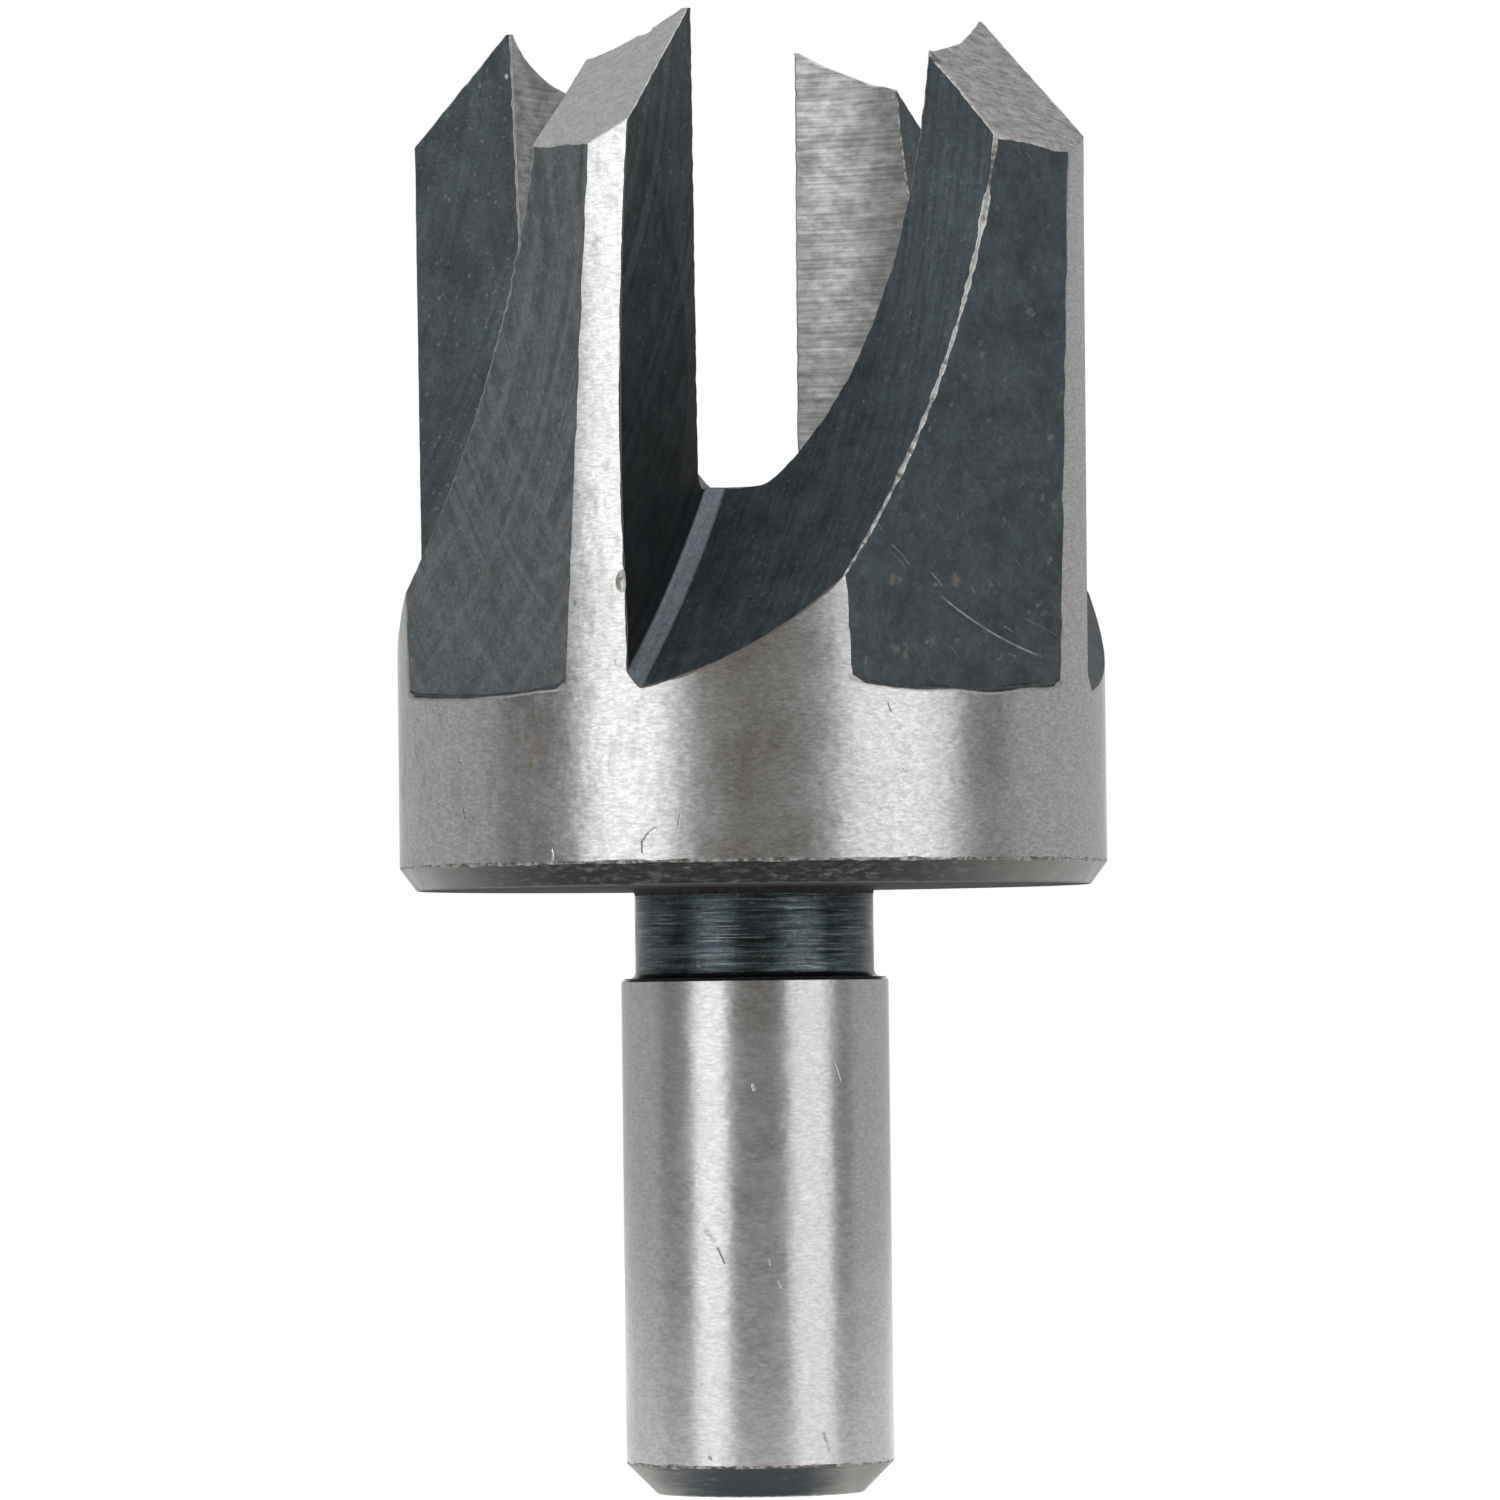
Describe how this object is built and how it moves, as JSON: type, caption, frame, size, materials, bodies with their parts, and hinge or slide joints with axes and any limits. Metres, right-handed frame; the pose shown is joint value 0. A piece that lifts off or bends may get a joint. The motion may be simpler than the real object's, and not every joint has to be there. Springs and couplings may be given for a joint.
{
  "type": "plug cutter",
  "caption": "One-piece steel plug cutter: round straight shank, necked relief and a cup body with milled teeth, deep gullets, a tapered bore and ground sloping tips.",
  "frame": {"origin": "centre of the shank's end face", "axes": "+Z along the tool's axis from the shank toward the teeth; the cutting faces look along +Y, -X, -Y and +X"},
  "size_m": [0.0252, 0.0252, 0.0522],
  "materials": {
    "tool_steel": "tool steel, ground bright on the outside, shank, bore and tips, black oxide on milled faces, neck and chamfers"
  },
  "bodies": {
    "root": {"plug_cutter": "tool_steel"}
  },
  "joints": []
}
